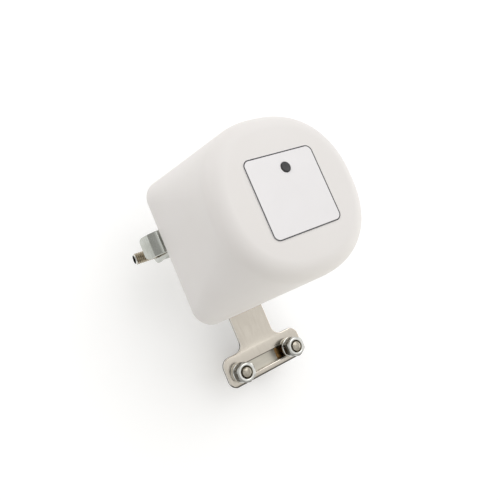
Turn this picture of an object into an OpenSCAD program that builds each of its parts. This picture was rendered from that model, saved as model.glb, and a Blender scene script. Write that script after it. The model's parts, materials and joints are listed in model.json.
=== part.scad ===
/* [Housing] */
// Width and height of the square rear rim
rear_w = 75; // [72:0.5:80]
// Corner radius of the rear rim
rear_corner_r = 10; // [8:0.5:12]
// Width of the round front face, measured where its fillet starts
front_w = 71; // [68:0.5:74]
// Exponent of the front outline: 2 is a circle, larger is squarer
front_exponent = 2.3; // [2:0.1:3]
// Fillet radius round the front face
front_fillet = 8; // [6:0.5:10]
// Depth from the rear rim to the front face
body_depth = 60; // [58:0.5:66]
// Wall thickness of the housing
wall = 2.5; // [2:0.1:3]
// Distance of the output shaft from the housing's centre, towards the label's top
shaft_offset = 8.5; // [7.5:0.5:9.5]

/* [Label and button] */
// Width and height of the front label
label_w = 34; // [28:0.5:38]
// Corner radius of the label
label_corner_r = 3; // [1:0.5:5]
// Thickness of the label
label_t = 0.3; // [0.2:0.05:0.5]
// Diameter of the push button's cap
button_d = 4.3; // [3.5:0.1:5]
// Sideways place of the button on the label
button_x = 1.2; // [-2:0.1:3]
// Height of the button above the label's centre
button_up = 10.2; // [9:0.2:12]
// How far the cap stands proud of the label
button_proud = 0.5; // [0.3:0.1:0.7]
// Travel of the button
button_travel = 0.8; // [0.5:0.1:1]

/* [Rear plate] */
// Thickness of the rear plate
plate_t = 3; // [2.5:0.1:4]
// Diameter of the rear plate's screws
plate_screw_d = 3; // [2.5:0.1:3.5]
// Radius of the housing's corner bosses
boss_r = 5; // [4.5:0.1:5.5]
// Radius of the posts that carry the gear deck
post_r = 3.5; // [3:0.1:4]

/* [Gear train] */
// Module of both gear pairs
gear_module = 0.8; // [0.7:0.02:0.82]
// Teeth of the output gear
output_teeth = 48; // [44:2:50]
// Teeth of the intermediate pinion
idler_pinion_teeth = 12; // [11:1:13]
// Teeth of the intermediate wheel
idler_wheel_teeth = 40; // [36:2:40]
// Teeth of the motor pinion
motor_teeth = 10; // [9:1:11]
// Face width of the output gear
output_face = 6; // [5:0.5:7]
// Face width of the intermediate wheel
wheel_face = 4; // [3:0.5:5]
// Backlash measured along the pitch circle
backlash = 0.16; // [0.1:0.02:0.24]
// Direction of the motor from the intermediate axle, in degrees
motor_bearing = 35; // [30:1:45]
// Diameter of the output shaft in the rear bush
shaft_d = 10; // [9:0.5:11]
// Diameter of the output shaft in the deck bush
shaft_top_d = 8; // [7:0.5:8.5]
// Diameter of the intermediate axle
axle_d = 4; // [3:0.5:4.5]
// Thickness of the gear deck
deck_t = 2; // [1.5:0.1:3]

/* [Motor] */
// Diameter of the motor can
motor_d = 24; // [20:0.5:26]
// Diameter of the motor shaft
motor_shaft_d = 3; // [2.5:0.1:3.2]

/* [Control board] */
// Diameter of the round control board
board_d = 56; // [52:1:60]
// Thickness of the control board
board_t = 1.6; // [1.2:0.1:2]
// Height of the bosses between the front wall and the board
board_boss_h = 5.9; // [5:0.1:7]
// Radius of the circle of board screws
board_screw_circle = 23; // [22:0.5:24]

/* [Power inlet] */
// Outside diameter of the inlet's threaded barrel
jack_d = 8; // [7:0.5:9]
// Diameter of the plug that the inlet takes
jack_plug_d = 5.5; // [4:0.1:5.5]
// Diameter of the inlet's centre pin
jack_pin_d = 2.1; // [1.3:0.1:2.5]
// Height of the inlet above the rear rim
jack_z = 13.5; // [12.5:0.5:14]
// Place of the inlet along the side wall
jack_y = 8; // [7:0.5:9]

/* [Drive arm] */
// Width of the arm's steel strip
arm_w = 11.4; // [10:0.2:13]
// Thickness of the arm's steel strip
arm_t = 2; // [1.5:0.1:2.5]
// Gap between the rear plate and the arm
arm_gap = 2.6; // [2.2:0.1:4]
// Sideways place of the arm's strip, from the shaft towards the label's top
arm_shift = 0.8; // [0:0.1:1.2]
// Distance from the shaft to the arm's first bend
crank_x = 37.9; // [37.5:0.1:40]
// Length of the crank between its two bends
crank_l = 4; // [3:0.1:6]
// Slope of the crank, in degrees
crank_angle = 38; // [30:1:44]
// Length of the lip beyond the crank
lip_l = 6.1; // [4:0.1:8]
// Slope of the lip, in degrees
lip_angle = 55; // [48:1:70]
// Corner radius of the lip
lip_r = 2.5; // [1:0.1:3]
// Reach of the long leg from the shaft, to its outer face
long_leg_x = 36; // [34:0.5:36.5]
// Reach of the short leg from the shaft, to its outer face
short_leg_x = 22; // [19:0.5:23]
// Height of the round weld nut behind the long leg
weld_nut_h = 5; // [4:0.1:6]
// Diameter of the grip's set screw
grip_screw_d = 6; // [5:0.5:6.5]
// Length of the grip's set screw
grip_screw_l = 20; // [19:1:24]
// How far the set screw stands out of the long leg
grip_screw_out = 11.2; // [9:0.2:12]
// Drop of the set screw's axis below the rear rim
grip_screw_z = 24; // [23:0.2:25]

/* [Pipe bracket] */
// Thickness of the bracket's steel
bracket_t = 2; // [1.5:0.1:2.4]
// Width of the bracket's stem
stem_w = 21.5; // [19:0.5:24]
// Distance from the rear rim back to the front of the cross bar
bar_drop = 25.6; // [24:0.2:30]
// Distance of the cross bar's top edge below the shaft
bar_top = 65.6; // [63:0.2:68]
// Width of the cross bar
bar_w = 49.6; // [46:0.2:54]
// Height of the cross bar
bar_h = 16.8; // [15:0.2:19]
// Corner radius of the cross bar
bar_corner_r = 5; // [3:0.5:6]
// Fillet between the stem and the cross bar
stem_fillet = 4.5; // [3:0.5:6]
// Length of the flange on the rear plate
flange_l = 17; // [16:0.5:19]

/* [Pipe strap] */
// Outside diameter of the pipe that the strap takes
pipe_d = 16; // [14:0.1:16.2]
// Thickness of the flat jaw behind the cross bar
jaw_t = 2; // [1.5:0.1:2.5]
// How far the flat jaw's outline stays inside the cross bar's
jaw_inset = 1.8; // [1:0.1:2.2]
// Length of the flat jaw's adjusting slot
jaw_slot_l = 12.4; // [11:0.2:14]
// Width of the strap
strap_w = 12; // [10:0.5:13]
// Thickness of the strap
strap_t = 1.8; // [1.4:0.1:2]
// Distance between the two clamp bolts
bolt_spacing = 32.8; // [32.4:0.2:35]
// Diameter of the clamp bolts
bolt_d = 6; // [5:0.5:6]
// Distance of the bolts below the cross bar's top edge
bolt_down = 10; // [8.5:0.1:10.5]

/* [Fits] */
// Gap round pieces that are pushed together by hand
fit_gap = 0.2; // [0.15:0.01:0.3]
// Radial clearance of turning shafts and of screws in their holes
run_gap = 0.05; // [0.03:0.01:0.08]

/* [Hidden] */

$fn = 48;
eps = 0.01;
press_angle = 25;
addendum = 0.8;
dedendum = 1.05;
hole_gap = 0.4;
end_gap = 0.3;

// Housing
body_y = -shaft_offset;
rear_edge_r = 0.8;
outline_points = 64;
fillet_steps = 6;
inner_w = rear_w - 2 * wall;
inner_corner_r = rear_corner_r - wall;
plate_w = inner_w - 2 * fit_gap;
boss_at = inner_w / 2 - boss_r - 0.5;
boss_h = 16;
plate_screw_l = 10;
front_in = body_depth - wall;

// Gear train, from the rear plate up
bush_wall = 2;
bush_flange_t = 1;
bush_flange_w = 2;
boss_up = 2;
output_z = plate_t + boss_up + bush_flange_t + end_gap;
layer_gap = 1.2;
wheel_z = output_z + output_face + layer_gap;
deck_z = wheel_z + wheel_face + 2.3;
deck_top = deck_z + deck_t;
output_r = gear_module * output_teeth / 2;
idler_pinion_r = gear_module * idler_pinion_teeth / 2;
idler_wheel_r = gear_module * idler_wheel_teeth / 2;
motor_pinion_r = gear_module * motor_teeth / 2;
idler_at = [0, -(output_r + idler_pinion_r)];
motor_reach = idler_wheel_r + motor_pinion_r;
motor_at = idler_at + motor_reach * [cos(motor_bearing), sin(motor_bearing)];
post_x = 18;
posts = [for (sx = [-1, 1], y = [output_r - 1.2, idler_at[1] - 12.5]) [sx * post_x, y]];
deck_edge = 6.5;
deck_corner_r = 5;
deck_w = 2 * (post_x + deck_edge);
deck_low = posts[1][1] - deck_corner_r;
deck_high = posts[0][1] + deck_corner_r;
deck_screw_d = 2.6;
deck_screw_in = 6;
cam_r = shaft_top_d / 2 + 4.6;
switch_size = [6.5, 12.8, 6.5];

// Control board and motor between the deck and the front wall
board_top = front_in - board_boss_h;
board_z = board_top - board_t;
motor_l = board_z - 2 - deck_top;
board_holes = [for (a = [45:90:315]) [0, body_y] + board_screw_circle * [cos(a), sin(a)]];
board_screw_d = 2.2;
board_boss_d = 6;
radio_at = [-13, body_y - 12];
radio_size = [18, 16, 0.8];
radio_can = [12, 14, 2.2];
radio_edge = 1;
capacitors = [for (y = [-8, 2]) [14, body_y + y]];
capacitor_d = 6.3;
capacitor_h = 5;
chip_at = [-19, body_y + 6];
chip_size = [9, 6, 1.7];
plug_at = [-4, body_y - 21];
plug_size = [10, 5, 4.5];
motor_screw_r = 8;
motor_screw_d = 2.5;
motor_screw_in = 4;
motor_edge = 1.5;
motor_shaft_in = 9;

// Button over its switch
button_at = [button_x, body_y + button_up];
button_flange_t = 1;
button_flange_w = 1.2;
button_flange_z = front_in - button_flange_t - 0.1;
button_edge = 0.4;
button_top = body_depth + label_t + button_proud;
switch_w = 6;
switch_h = 3.3;
plunger_d = 3.4;
plunger_seat = 0.4;
plunger_low = board_top + switch_h - plunger_seat;
plunger_pit = button_travel + 2 * plunger_seat;

// Power inlet through the right-hand wall
jack_wall_x = rear_w / 2 - (rear_w - front_w) / 2 * jack_z / (body_depth - front_fillet);
jack_seat_x = jack_wall_x + 0.7;
jack_boss_r = jack_d / 2 + 2.7;
jack_in_x = jack_wall_x - wall - 0.8;
jack_l = 12;
jack_flange_t = 1.5;
jack_nut_t = 2.5;
jack_rim = 3;

// Drive arm
arm_top = -arm_gap;
arm_mid = arm_top - arm_t / 2;
arm_bend_r = arm_t / 2 + 0.6;
arm_eye_r = 9;
arm_square = shaft_d * 0.68;
arm_screw_d = 5;
arm_screw_l = 12;
arm_washer_t = 1.2;
arm_low = arm_top - arm_t;
crank_at = [-crank_x, arm_mid];
lip_at = crank_at - crank_l * [cos(crank_angle), sin(crank_angle)];
lip_end = lip_at - lip_l * [cos(lip_angle), sin(lip_angle)];
weld_nut_d = grip_screw_d + 4;
grip_edge = 0.6;
grip_cup = 1;

// Pipe bracket and strap
bar_front = -bar_drop;
bar_back = bar_front - bracket_t;
bar_edge_r = bracket_t - 0.2;
bend_r = bracket_t / 2 + 1.6;
leg_y = body_y - rear_w / 2 + 1.5;
flange_y = leg_y + flange_l;
bracket_holes = [for (sx = [-1, 1]) [sx * stem_w * 0.28, leg_y + flange_l / 2]];
bracket_screw_d = 4;
bracket_boss_h = plate_t + 4;
bolt_y = -bar_top - bolt_down;
slot_w = bolt_d + hole_gap;
slot_l = bolt_spacing + slot_w + 0.8;
bolts = [for (sx = [-1, 1]) [sx * bolt_spacing / 2, bolt_y]];
pipe_r = pipe_d / 2;
strap_r = pipe_r + strap_t;
strap_depth = pipe_d + fit_gap;
ear_x = bolt_spacing / 2 + bolt_d;
ear_r = 4;
strap_bend_r = 1;
jaw_back = bar_back - jaw_t;
jaw_slot_r = 0.6;
ear_back = jaw_back - strap_t;
bolt_tip = 0.6;
washer_t = 1.6;
washer_d = bolt_d * 11 / 6;
nut_h = 6.2;
nut_af = bolt_d * 5 / 3;
nut_top_d = nut_af - 0.5;
bolt_head_h = bolt_d * 2 / 3;
bolt_end = 0.6;
clamp_l = strap_t + jaw_t + bracket_t + washer_t + nut_h + bolt_end;

white = [0.87, 0.86, 0.84];
nickel = [0.78, 0.75, 0.70];
zinc = [0.75, 0.76, 0.76];
black = [0.10, 0.10, 0.11];

function unit(v) = v / norm(v);
function left(v) = [-v[1], v[0]];
function spin(v, a) = [v[0] * cos(a) - v[1] * sin(a), v[0] * sin(a) + v[1] * cos(a)];
function reversed(list) = [for (i = [len(list) - 1:-1:0]) list[i]];

// One side of a bent strip: its centre line p, moved left by d, with bends of radius r
function strip_side(p, r, d, steps = 8) =
    let (n = len(p), first = unit(p[1] - p[0]), last = unit(p[n - 1] - p[n - 2]))
    concat(
        [p[0] + d * left(first)],
        [for (i = [1:n - 2])
            let (u = unit(p[i] - p[i - 1]), v = unit(p[i + 1] - p[i]),
                 way = sign(cross(u, v)), a = acos(u * v),
                 centre = p[i] - u * r * tan(a / 2) + way * r * left(u))
            for (k = [0:steps]) centre + spin((d - way * r) * left(u), way * a * k / steps)],
        [p[n - 1] + d * left(last)]);

// Closed front outline of the housing, half as wide as a
function front_outline(a) =
    [for (i = [0:outline_points - 1])
        let (t = 360 * i / outline_points, c = cos(t), s = sin(t))
        a * [sign(c) * pow(abs(c), 2 / front_exponent), sign(s) * pow(abs(s), 2 / front_exponent)]];

function involute(a) = tan(a) - a * PI / 180;
// Half angle of a tooth at radius r, from the half angle on its pitch circle
function tooth_angle(r, pitch_r, half) =
    half + (involute(press_angle) - involute(acos(min(1, pitch_r * cos(press_angle) / r)))) * 180 / PI;
function polar(r, a) = r * [cos(a), sin(a)];

module strip(p, r, t) polygon(concat(strip_side(p, r, t / 2), reversed(strip_side(p, r, -t / 2))));

module rounded(w, h, r) {
    square([w - 2 * r, h], center = true);
    square([w, h - 2 * r], center = true);
    for (sx = [-1, 1], sy = [-1, 1]) translate([sx * (w / 2 - r), sy * (h / 2 - r)]) circle(r);
}

module hexagon(af) circle(d = af / cos(30), $fn = 6);

module corner_fillet(r) difference() {
    square(r);
    translate([r, r]) circle(r);
}

// What is cut from a convex corner at the origin to round it
module corner_cut(r) difference() {
    translate([-1, -1]) square(r + 1);
    translate([r, r]) circle(r);
}

module slice(z) translate([0, 0, z]) linear_extrude(eps) children();

// Loft from the square rear rim to the rounded front, drawn in by inset and carried back by extend
module body_form(inset, extend) {
    r = front_fillet - inset;
    rear = rear_w - 2 * inset;
    corner = rear_corner_r - inset;
    edge = extend > 0 ? 0 : rear_edge_r;
    translate([0, body_y, 0]) hull() {
        slice(-extend) rounded(rear - edge, rear - edge, corner, $fn = 32);
        slice(edge) rounded(rear, rear, corner, $fn = 32);
        for (a = [0:90 / fillet_steps:90])
            slice(body_depth - inset - r + r * sin(a) - eps)
                polygon(front_outline(front_w / 2 - inset - r + r * cos(a)));
    }
}

module place(p, z) translate([p[0], p[1], z]) children();

module places(list, z) for (p = list) place(p, z) children();

// Set on the grip screw's axis at x, with +Z turned to +X
module along_screw(x) translate([x, 0, -grip_screw_z]) rotate([0, 90, 0]) children();

module corner_places() for (sx = [-1, 1], sy = [-1, 1])
    translate([sx * boss_at, body_y + sy * boss_at, 0]) children();

module gear_outline(teeth) {
    pitch_r = gear_module * teeth / 2;
    tip = pitch_r + addendum * gear_module;
    root = pitch_r - dedendum * gear_module;
    start = max(root + 0.05, pitch_r * cos(press_angle));
    half = 90 / teeth - backlash * 45 / (PI * pitch_r);
    radii = [start, (start + tip) / 2, tip];
    polygon([for (i = [0:teeth - 1])
        let (c = 360 * i / teeth, flank = [for (r = radii) tooth_angle(r, pitch_r, half)])
        each concat(
            [polar(root, c - flank[0])],
            [for (k = [0:2]) polar(radii[k], c - flank[k])],
            [for (k = [2:-1:0]) polar(radii[k], c + flank[k])],
            [polar(root, c + flank[0])])]);
}

// Pan head screw along +Z: head above z = 0, shank below, with a cross recess
module pan_screw(d, l, head = 1.9) difference() {
    union() {
        translate([0, 0, -l]) cylinder(h = l, d = d - 2 * run_gap);
        cylinder(h = d * 0.35, d = d * head);
        translate([0, 0, d * 0.35]) cylinder(h = d * 0.25, d1 = d * head, d2 = d * head * 0.6);
    }
    for (a = [0, 90]) rotate(a) translate([-d * 0.45, -d * 0.11, d * 0.3]) cube([d * 0.9, d * 0.22, d]);
}

module ring(h, od, id) difference() {
    cylinder(h = h, d = od);
    translate([0, 0, -1]) cylinder(h = h + 2, d = id);
}

module flanged_bush(h, id) difference() {
    union() {
        cylinder(h = h, d = id + 2 * bush_wall);
        translate([0, 0, h]) cylinder(h = bush_flange_t, d = id + 2 * bush_wall + 2 * bush_flange_w);
    }
    translate([0, 0, -1]) cylinder(h = h + bush_flange_t + 2, d = id + 2 * run_gap);
}

module housing_shell() color(white) difference() {
    union() {
        difference() {
            body_form(0, 0);
            body_form(wall, 1);
        }
        intersection() {
            body_form(wall / 2, 0);
            corner_places() translate([0, 0, plate_t]) cylinder(h = boss_h, r = boss_r);
        }
        places(board_holes, board_top) cylinder(h = board_boss_h + wall / 2, d = board_boss_d);
        translate([jack_in_x, jack_y, jack_z]) rotate([0, 90, 0])
            cylinder(h = jack_seat_x - jack_in_x, r = jack_boss_r);
    }
    translate([0, body_y, -1]) linear_extrude(plate_t + 1) rounded(inner_w, inner_w, inner_corner_r);
    corner_places() translate([0, 0, plate_t - 1]) cylinder(h = plate_screw_l + 2, d = plate_screw_d);
    places(board_holes, board_top - 1) cylinder(h = board_boss_h, d = board_screw_d);
    translate([jack_in_x - 1, jack_y, jack_z]) rotate([0, 90, 0])
        cylinder(h = jack_seat_x - jack_in_x + 2, d = jack_d + 2 * fit_gap);
    place(button_at, front_in - 1) cylinder(h = wall + 2, d = button_d + 2 * fit_gap);
}

module rear_plate() color(white) difference() {
    union() {
        translate([0, body_y, 0]) linear_extrude(plate_t)
            rounded(plate_w, plate_w, inner_corner_r - fit_gap);
        places(posts, 0) cylinder(h = deck_z, r = post_r);
        cylinder(h = plate_t + boss_up, d = shaft_d + 2 * bush_wall + 6);
        place(idler_at, 0) cylinder(h = output_z - 0.5, d = axle_d + 4);
        places(bracket_holes, 0) cylinder(h = bracket_boss_h, d = bracket_screw_d + 5);
    }
    translate([0, 0, -1]) cylinder(h = plate_t + boss_up + 2, d = shaft_d + 2 * bush_wall);
    place(idler_at, 1) cylinder(h = output_z, d = axle_d);
    places(posts, deck_z - deck_screw_in - 3) cylinder(h = deck_screw_in + 4, d = deck_screw_d);
    places(bracket_holes, -1) cylinder(h = bracket_boss_h, d = bracket_screw_d);
    corner_places() translate([0, 0, -1]) {
        cylinder(h = plate_t + 2, d = plate_screw_d + hole_gap);
        cylinder(h = plate_screw_d * 0.6 + 1, d = plate_screw_d * 1.9 + hole_gap);
    }
}

module rear_plate_screws() color(zinc) corner_places()
    translate([0, 0, plate_screw_d * 0.6]) mirror([0, 0, 1]) pan_screw(plate_screw_d, plate_screw_l);

module face_label() color([0.91, 0.90, 0.91])
    translate([0, body_y, body_depth]) linear_extrude(label_t) difference() {
        rounded(label_w, label_w, label_corner_r);
        translate([button_x, button_up]) circle(d = button_d + 2 * fit_gap);
    }

module push_button() color(black) {
    place(button_at, button_flange_z) cylinder(h = button_flange_t, d = button_d + 2 * button_flange_w);
    place(button_at, button_flange_z) cylinder(h = button_top - button_edge - button_flange_z, d = button_d);
    place(button_at, button_top - button_edge)
        cylinder(h = button_edge, d1 = button_d, d2 = button_d - 2 * button_edge);
}

module tact_switch() color([0.25, 0.25, 0.27]) place(button_at, board_top) difference() {
    translate([0, 0, switch_h / 2]) cube([switch_w, switch_w, switch_h], center = true);
    translate([0, 0, switch_h - plunger_pit]) cylinder(h = switch_h, d = plunger_d + 2 * fit_gap);
}

module switch_plunger() color(black) place(button_at, plunger_low)
    cylinder(h = button_flange_z - plunger_low, d = plunger_d);

module control_board() color([0.05, 0.30, 0.16]) difference() {
    translate([0, body_y, board_z]) cylinder(h = board_t, d = board_d);
    places(board_holes, board_z - 1) cylinder(h = board_t + 2, d = board_screw_d + hole_gap);
}

module radio_module() color([0.70, 0.70, 0.72]) place(radio_at, board_top) {
    cube(radio_size);
    translate([radio_edge, radio_edge, 0]) cube(radio_can + [0, 0, radio_size[2]]);
}

module board_parts() color([0.12, 0.12, 0.13]) {
    places(capacitors, board_top) cylinder(h = capacitor_h, d = capacitor_d);
    place(chip_at, board_top) cube(chip_size);
    place(plug_at, board_top) cube(plug_size);
}

module board_screws() color(zinc) places(board_holes, board_z)
    mirror([0, 0, 1]) pan_screw(board_screw_d, board_t + board_boss_h - 1.4, 1.8);

module power_inlet() color(black)
    translate([jack_seat_x + jack_flange_t, jack_y, jack_z]) rotate([0, -90, 0]) {
        difference() {
            union() {
                cylinder(h = jack_flange_t, d = jack_d + jack_rim);
                cylinder(h = jack_l, d = jack_d);
            }
            translate([0, 0, -1]) cylinder(h = jack_l - 1, d = jack_plug_d + 2 * fit_gap);
        }
        translate([0, 0, 1]) cylinder(h = jack_l - 2, d = jack_pin_d);
    }

module inlet_nut() color(zinc) translate([jack_in_x, jack_y, jack_z]) rotate([0, -90, 0])
    linear_extrude(jack_nut_t) difference() {
        hexagon(jack_d + jack_rim);
        circle(d = jack_d + 2 * run_gap);
    }

module gear_deck() color([0.62, 0.63, 0.65]) difference() {
    translate([0, (deck_low + deck_high) / 2, deck_z]) linear_extrude(deck_t)
        rounded(deck_w, deck_high - deck_low, deck_corner_r);
    places(posts, deck_z - 1) cylinder(h = deck_t + 2, d = deck_screw_d + hole_gap);
    translate([0, 0, deck_z - 1]) cylinder(h = deck_t + 2, d = shaft_top_d + 2 * bush_wall);
    place(idler_at, deck_z - 1) cylinder(h = deck_t + 2, d = axle_d);
    place(motor_at, deck_z - 1) cylinder(h = deck_t + 2, d = motor_shaft_d + 4);
    motor_screw_places() translate([0, 0, -1]) cylinder(h = deck_t + 2, d = motor_screw_d + hole_gap);
}

module deck_screws() color(zinc) places(posts, deck_top) pan_screw(deck_screw_d, deck_t + deck_screw_in);

// Two screws square to the line from the motor to the intermediate axle, level with the deck's underside
module motor_screw_places() for (sx = [-1, 1])
    place(motor_at + sx * motor_screw_r * [-sin(motor_bearing), cos(motor_bearing)], deck_z) children();

module motor() color([0.72, 0.73, 0.74]) difference() {
    place(motor_at, deck_top) {
        cylinder(h = motor_l - motor_edge, d = motor_d);
        translate([0, 0, motor_l - motor_edge])
            cylinder(h = motor_edge, d1 = motor_d, d2 = motor_d - 2 * motor_edge);
    }
    place(motor_at, deck_top - 1) cylinder(h = motor_shaft_in + 2, d = motor_shaft_d + 2 * run_gap);
    motor_screw_places() translate([0, 0, -1]) cylinder(h = deck_t + motor_screw_in + 2, d = motor_screw_d);
}

module motor_screws() color(zinc) motor_screw_places()
    mirror([0, 0, 1]) pan_screw(motor_screw_d, deck_t + motor_screw_in, 1.7);

module motor_shaft() color([0.66, 0.67, 0.69]) place(motor_at, wheel_z - 0.8)
    cylinder(h = deck_top + motor_shaft_in - wheel_z, d = motor_shaft_d);

// The pinion's gap faces the wheel's tooth along the line of centres
module motor_pinion() color([0.75, 0.62, 0.30]) place(motor_at, wheel_z - 0.5) difference() {
    linear_extrude(wheel_face + 1)
        rotate(motor_bearing + 180 + 180 / motor_teeth) gear_outline(motor_teeth);
    translate([0, 0, -1]) cylinder(h = wheel_face + 3, d = motor_shaft_d);
}

module idler_gear() color([0.90, 0.88, 0.80]) place(idler_at, 0) difference() {
    union() {
        translate([0, 0, output_z - end_gap]) linear_extrude(wheel_z - output_z + end_gap)
            rotate(90 + 180 / idler_pinion_teeth) gear_outline(idler_pinion_teeth);
        translate([0, 0, wheel_z]) linear_extrude(wheel_face)
            rotate(motor_bearing) gear_outline(idler_wheel_teeth);
        translate([0, 0, wheel_z]) cylinder(h = deck_z - wheel_z - end_gap, d = axle_d + 4);
    }
    cylinder(h = deck_z + 1, d = axle_d + 2 * run_gap);
    for (a = [30:60:330]) rotate(a) translate([idler_wheel_r * 0.62, 0, wheel_z - 1])
        cylinder(h = wheel_face + 2, d = idler_wheel_r * 0.32);
}

module idler_axle() color([0.66, 0.67, 0.69]) place(idler_at, 1)
    cylinder(h = deck_top - 1, d = axle_d);

module output_gear() color([0.90, 0.88, 0.80]) translate([0, 0, output_z]) difference() {
    linear_extrude(output_face) rotate(-90) gear_outline(output_teeth);
    translate([0, 0, -1]) cylinder(h = output_face + 2, d = shaft_d);
    translate([0, 0, output_face - 1.5]) ring(2, 2 * output_r - 5, shaft_d + 8);
    translate([0, 0, -0.5]) ring(2, 2 * output_r - 5, shaft_d + 12);
}

module output_shaft() color([0.68, 0.69, 0.71]) difference() {
    union() {
        translate([0, 0, arm_top]) cylinder(h = output_z + output_face - arm_top, d = shaft_d);
        cylinder(h = deck_top + bush_flange_t + 2.6, d = shaft_top_d);
        translate([-arm_square / 2, -arm_square / 2, arm_low + 0.3]) cube([arm_square, arm_square, arm_t]);
    }
    translate([0, 0, deck_top + bush_flange_t + 0.2]) ring(1, shaft_top_d + 1, shaft_top_d - 1.4);
    translate([0, 0, arm_low]) cylinder(h = 13, d = arm_screw_d);
}

module rear_bush() color([0.72, 0.52, 0.25]) flanged_bush(plate_t + boss_up, shaft_d);

module deck_bush() color([0.72, 0.52, 0.25]) translate([0, 0, deck_z]) flanged_bush(deck_t, shaft_top_d);

module shaft_clip() color([0.35, 0.35, 0.37]) translate([0, 0, deck_top + bush_flange_t + end_gap])
    linear_extrude(0.8) difference() {
        circle(d = shaft_top_d + 3);
        circle(d = shaft_top_d - 1.3);
        translate([0, -1.5]) square([shaft_top_d, 3]);
    }

// Disc with one lobe, which meets a limit switch at each end of the arm's turn
module limit_cam() color([0.20, 0.21, 0.23]) translate([0, 0, output_z + output_face]) difference() {
    union() {
        cylinder(h = deck_z - output_z - output_face - 0.5, d = shaft_top_d + 4);
        translate([0, 0, layer_gap]) linear_extrude(4) rotate(135) intersection() {
            circle(cam_r);
            polygon([[0, 0], polar(2 * cam_r, -18), polar(2 * cam_r, 18)]);
        }
    }
    translate([0, 0, -1]) cylinder(h = deck_z, d = shaft_top_d);
}

module limit_switches() color(black) for (a = [45, 135]) rotate(a) {
    translate([cam_r + 1.2, -switch_size[1] / 2, deck_z - switch_size[2]]) cube(switch_size);
    translate([cam_r + 0.3, -switch_size[1] / 2, deck_z - 5]) cube([0.4, switch_size[1], 3.5]);
    translate([cam_r + 0.3, -switch_size[1] / 2, deck_z - 5]) cube([1.2, 1, 3.5]);
}

// Strip with a short leg at one end and a cranked lip at the other; the long leg is welded on behind it
module drive_arm() color(zinc) difference() {
    union() {
        translate([0, arm_shift + arm_w / 2, 0]) rotate([90, 0, 0]) linear_extrude(arm_w)
            strip([
                [short_leg_x - arm_t / 2, -grip_screw_z],
                [short_leg_x - arm_t / 2, arm_mid],
                crank_at, lip_at, lip_end], arm_bend_r, arm_t);
        translate([0, arm_shift, 0]) along_screw(short_leg_x - arm_t) cylinder(h = arm_t, d = arm_w);
        translate([-long_leg_x, -arm_w / 2, -grip_screw_z]) cube([arm_t, arm_w, grip_screw_z + arm_mid]);
        along_screw(-long_leg_x) cylinder(h = arm_t, d = arm_w);
        along_screw(arm_t - long_leg_x) cylinder(h = weld_nut_h, d = weld_nut_d);
        translate([0, 0, arm_low]) cylinder(h = arm_t, r = arm_eye_r);
    }
    translate([-arm_square / 2 - run_gap, -arm_square / 2 - run_gap, arm_low - 1])
        cube([arm_square + 2 * run_gap, arm_square + 2 * run_gap, arm_t + 2]);
    along_screw(-long_leg_x - 1) cylinder(h = arm_t + weld_nut_h + 2, d = grip_screw_d + 2 * run_gap);
    translate([lip_end[0], arm_shift, lip_end[1]]) rotate([0, 90 - lip_angle, 0])
        rotate([90, 0, 90]) translate([0, 0, -arm_t]) linear_extrude(2 * arm_t)
            for (sx = [0, 1]) mirror([sx, 0]) translate([-arm_w / 2, 0]) corner_cut(lip_r);
}

module arm_washer() color(zinc) translate([0, 0, arm_low - arm_washer_t])
    ring(arm_washer_t, arm_square * sqrt(2) + 3.5, arm_screw_d + hole_gap);

module arm_screw() color(zinc) translate([0, 0, arm_low - arm_washer_t])
    mirror([0, 0, 1]) pan_screw(arm_screw_d, arm_screw_l, 1.8);

// Headless screw with a hexagon socket in its outer end and a cup point at its inner end
module grip_screw() color([0.72, 0.68, 0.60])
    along_screw(-long_leg_x - grip_screw_out) difference() {
        union() {
            cylinder(h = grip_edge, d1 = grip_screw_d - 2 * grip_edge, d2 = grip_screw_d);
            translate([0, 0, grip_edge])
                cylinder(h = grip_screw_l - grip_edge - grip_cup, d = grip_screw_d);
            translate([0, 0, grip_screw_l - grip_cup])
                cylinder(h = grip_cup, d1 = grip_screw_d, d2 = grip_screw_d - 2 * grip_cup);
        }
        translate([0, 0, -1]) linear_extrude(grip_screw_d * 0.6 + 1) hexagon(grip_screw_d / 2);
    }

module pipe_bracket() color(nickel) difference() {
    union() {
        translate([-stem_w / 2, 0, 0]) rotate([90, 0, 90]) linear_extrude(stem_w)
            strip([
                [flange_y, -bracket_t / 2],
                [leg_y + bracket_t / 2, -bracket_t / 2],
                [leg_y + bracket_t / 2, bar_front - bracket_t / 2],
                [leg_y - 2 * bend_r, bar_front - bracket_t / 2]], bend_r, bracket_t);
        translate([0, 0, bar_back]) linear_extrude(bracket_t) {
            translate([-stem_w / 2, -bar_top - bar_h / 2])
                square([stem_w, bar_top + bar_h / 2 + leg_y - 2 * bend_r + eps]);
            translate([0, -bar_top - bar_h / 2]) rounded(bar_w, bar_h, bar_corner_r);
            for (sx = [0, 1]) mirror([sx, 0, 0])
                translate([stem_w / 2, -bar_top]) corner_fillet(stem_fillet);
        }
    }
    translate([0, bolt_y, bar_back - 1]) linear_extrude(bracket_t + 2)
        rounded(slot_l, slot_w, slot_w / 2 - eps);
    translate([-bar_w, 0, 0]) rotate([90, 0, 90]) linear_extrude(2 * bar_w)
        translate([-bar_top - bar_h, bar_front]) mirror([0, 1]) corner_cut(bar_edge_r);
    places(bracket_holes, -bracket_t - 1) cylinder(h = bracket_t + 2, d = bracket_screw_d + hole_gap);
}

module bracket_screws() color(zinc) places(bracket_holes, -bracket_t)
    mirror([0, 0, 1]) pan_screw(bracket_screw_d, bracket_t + plate_t + 2.5, 1.8);

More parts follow.
